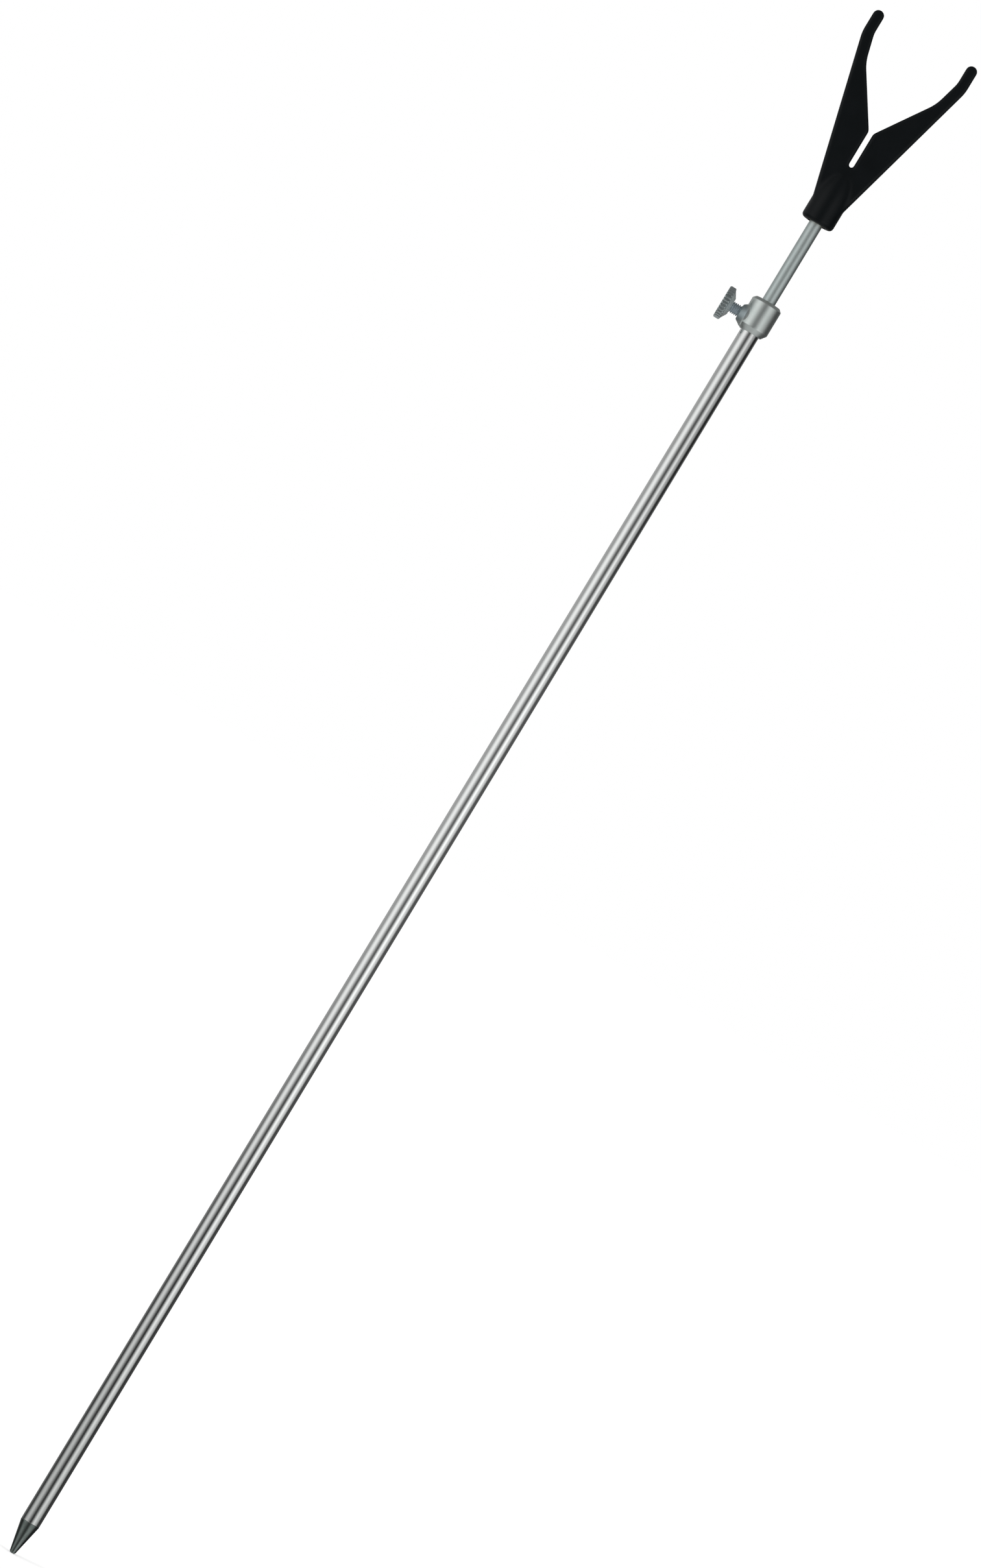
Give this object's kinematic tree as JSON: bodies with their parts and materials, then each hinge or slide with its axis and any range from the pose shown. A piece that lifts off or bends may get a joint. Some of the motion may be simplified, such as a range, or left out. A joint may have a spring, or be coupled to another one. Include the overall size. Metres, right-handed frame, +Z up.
{
  "type": "bank stick",
  "caption": "Telescopic bank stick: a pointed chromed tube, a sliding rod locked by a thumbscrew in a collar, and a slotted V head that cradles a fishing rod.",
  "frame": {"origin": "the tip of the ground spike, on the stick's axis", "axes": "+Z up the stick from the spike to the fork, +X in the plane of the V away from the thumbscrew, +Y square to the plane of the V"},
  "size_m": [0.0588, 0.0174, 0.8658],
  "materials": {
    "chromed_steel": "bright chrome plating on drawn steel tube",
    "ground_steel": "turned point with dull plating",
    "satin_nickel": "turned, satin nickel plated",
    "dark_nickel": "turned and knurled, darkened nickel plated",
    "satin_steel": "drawn rod, satin zinc plated",
    "brass": "turned brass",
    "white_acetal": "moulded natural acetal",
    "black_nylon": "moulded black nylon, satin"
  },
  "bodies": {
    "tube": {"outer_tube": "chromed_steel", "ground_spike": "ground_steel", "clamp_collar": "satin_nickel", "mouth_bush": "white_acetal"},
    "foot": {"foot_bush": "white_acetal"},
    "stem": {"inner_rod": "satin_steel", "foot_retainer": "satin_steel", "fork_head": "black_nylon", "fork_insert": "brass"},
    "pad": {"clamp_pad": "brass"},
    "screw": {"clamp_screw": "dark_nickel", "thumb_knob": "dark_nickel"}
  },
  "joints": [
    {"name": "stem_slide", "type": "slide", "parent": "tube", "child": "foot", "axis": [0, 0, 1], "range_m": [-0.0445, 0.6]},
    {"name": "stem_turn", "type": "hinge", "parent": "foot", "child": "stem", "pos_m": [0, 0, 0.0952], "axis": [0, 0, 1], "continuous": true},
    {"name": "pad_travel", "type": "slide", "parent": "tube", "child": "pad", "axis": [-1, 0, 0], "range_m": [0, 0.002]},
    {"name": "screw_turn", "type": "hinge", "parent": "pad", "child": "screw", "pos_m": [-0.0098, 0, 0.70415], "axis": [-1, 0, 0], "range_deg": [0, 720]}
  ],
  "couplings": [
    {"joint": "pad_travel", "follows": "screw_turn", "m_per_rad": 0.00015915}
  ]
}
